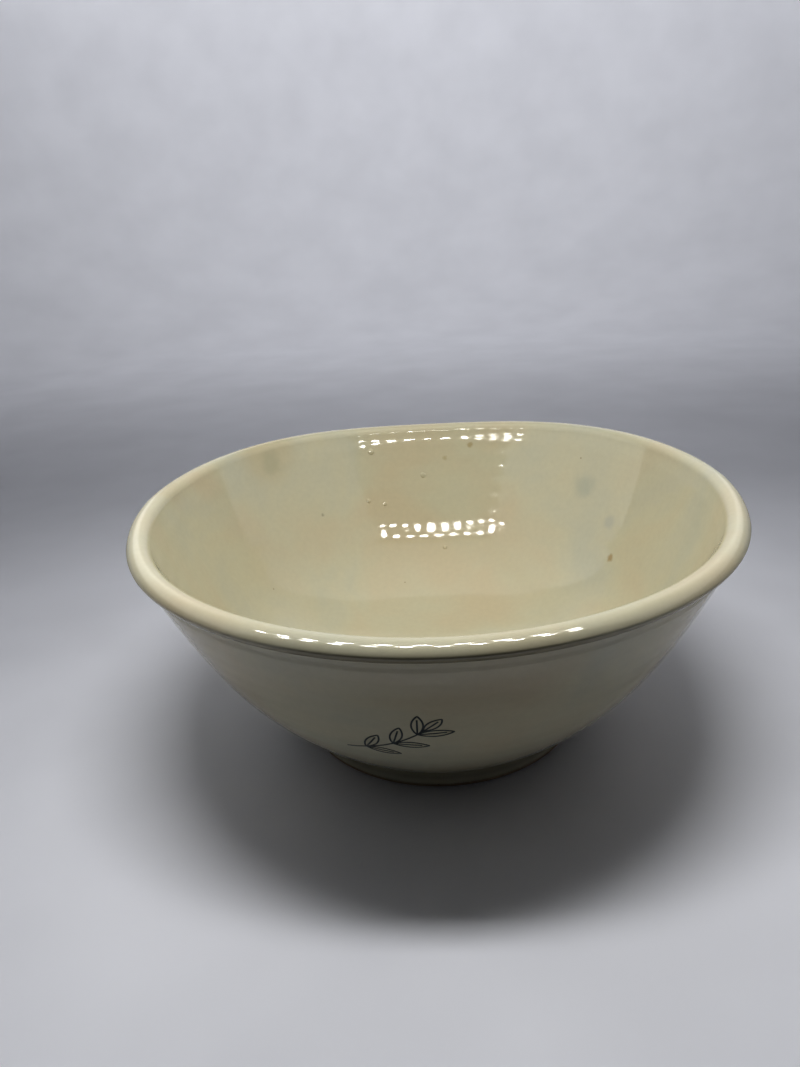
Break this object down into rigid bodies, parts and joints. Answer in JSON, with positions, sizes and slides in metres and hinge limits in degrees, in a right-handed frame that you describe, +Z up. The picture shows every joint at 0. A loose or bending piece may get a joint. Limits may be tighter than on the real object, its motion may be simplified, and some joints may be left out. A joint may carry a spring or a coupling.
{
  "type": "shaving bowl",
  "caption": "Wide glazed stoneware lather bowl with a flared wall, a rolled rim over a narrow neck, a low turned foot ring and a small printed sprig.",
  "frame": {"origin": "on the bowl's axis, on the plane that the foot ring stands on", "axes": "+Z up along the bowl's axis; -Y is the front, the side with the printed sprig; +X is to the right seen from the front"},
  "size_m": [0.1722, 0.1722, 0.072],
  "materials": {
    "fired_clay": "bare fired stoneware, fine matt grit, showing only on the standing ring",
    "cream_glaze": "glossy warm cream glaze with faint pooling, pinholes and iron specks",
    "print_ink": "thin blue-black line print fired onto the glaze"
  },
  "bodies": {
    "root": {"stoneware_body": "fired_clay", "glaze_coat": "cream_glaze", "underside_glaze": "cream_glaze", "printed_sprig": "print_ink"}
  },
  "joints": []
}
